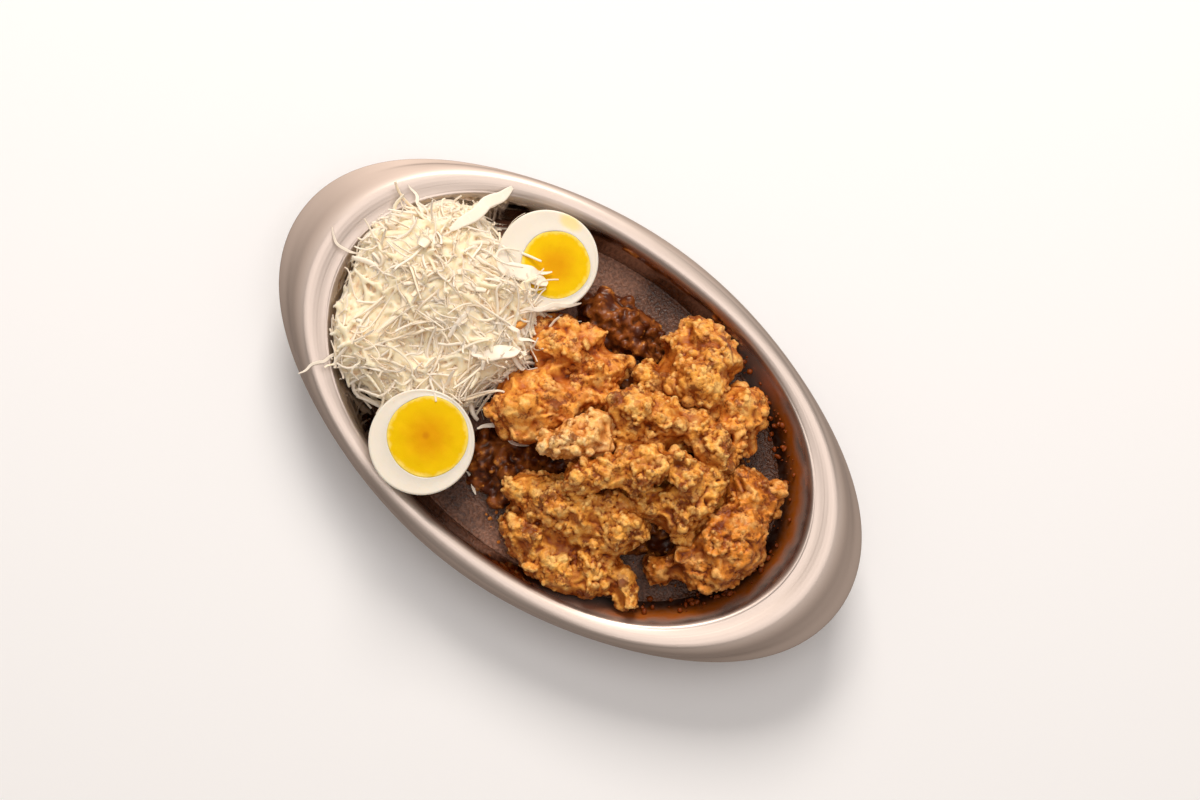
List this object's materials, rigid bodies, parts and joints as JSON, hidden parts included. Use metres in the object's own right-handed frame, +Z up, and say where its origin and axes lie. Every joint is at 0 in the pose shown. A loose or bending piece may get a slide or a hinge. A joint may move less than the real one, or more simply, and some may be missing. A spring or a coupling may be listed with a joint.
{
  "type": "plate of fried chicken curry",
  "caption": "Boat-shaped stainless steel curry dish filled with dark brown curry sauce over rice, with fried chicken, shredded cabbage and boiled egg halves.",
  "frame": {"origin": "on the table under the middle of the dish", "axes": "+X along the dish towards the end with the fried chicken, +Y towards the long side with the egg half that the cabbage leans on, +Z up"},
  "size_m": [0.28, 0.165, 0.062],
  "materials": {
    "steel": "satin",
    "curry_sauce": "semi-gloss, with a drying skin",
    "sauced_rice": "wet",
    "cabbage": "moist",
    "egg_white": "moist, smooth",
    "egg_yolk": "moist, slightly grainy",
    "fried_crust": "craggy, slightly oily"
  },
  "bodies": {
    "root": {"dish": "steel", "curry_sauce": "curry_sauce", "sauced_rice": "sauced_rice", "cabbage_heap": "cabbage", "egg_white_front": "egg_white", "egg_white_back": "egg_white", "egg_yolk_front": "egg_yolk", "egg_yolk_back": "egg_yolk", "karaage_left": "fried_crust", "karaage_ridge": "fried_crust", "karaage_top": "fried_crust", "karaage_top_right": "fried_crust", "karaage_middle": "fried_crust", "karaage_right": "fried_crust", "karaage_pale": "fried_crust", "karaage_diagonal": "fried_crust", "karaage_bottom": "fried_crust"}
  },
  "joints": []
}
